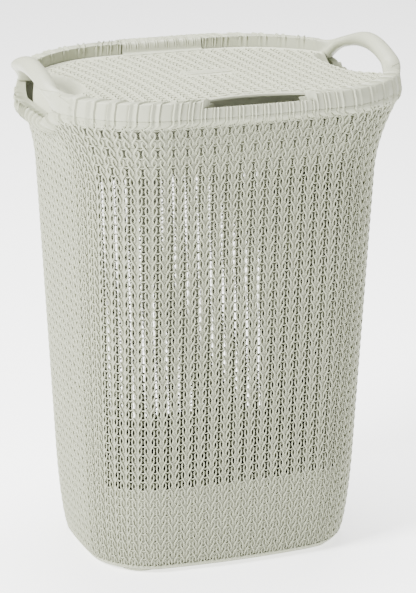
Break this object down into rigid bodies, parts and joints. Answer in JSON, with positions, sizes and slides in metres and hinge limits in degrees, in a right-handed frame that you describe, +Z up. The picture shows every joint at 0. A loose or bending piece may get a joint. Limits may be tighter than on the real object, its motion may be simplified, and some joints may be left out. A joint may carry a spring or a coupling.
{
  "type": "laundry hamper with lid",
  "caption": "Tall tapered plastic laundry hamper with a knit-look wall, a wrapped rim with an arched carrying handle at each end, and a domed lid hinged at the rear.",
  "frame": {"origin": "on the floor, under the centre of the hamper's bounding box", "axes": "+Z up, front (finger grip side) faces -Y, the long side and the two handles lie along X"},
  "size_m": [0.4486, 0.3684, 0.6128],
  "materials": {
    "tub_plastic": "satin off-white polypropylene",
    "rim_plastic": "satin off-white polypropylene",
    "lid_plastic": "satin off-white polypropylene"
  },
  "bodies": {
    "basket": {"basket_body": "tub_plastic", "rim_ring": "rim_plastic", "foot_front_left": "tub_plastic", "foot_front_right": "tub_plastic", "foot_rear_left": "tub_plastic", "foot_rear_right": "tub_plastic"},
    "lid": {"lid_panel": "lid_plastic", "hinge_knuckle": "rim_plastic", "label_plate": "lid_plastic"}
  },
  "joints": [
    {"name": "lid_hinge", "type": "hinge", "parent": "basket", "child": "lid", "pos_m": [0, 0.166, 0.583], "axis": [-1, 0, 0], "range_deg": [0, 100]}
  ]
}
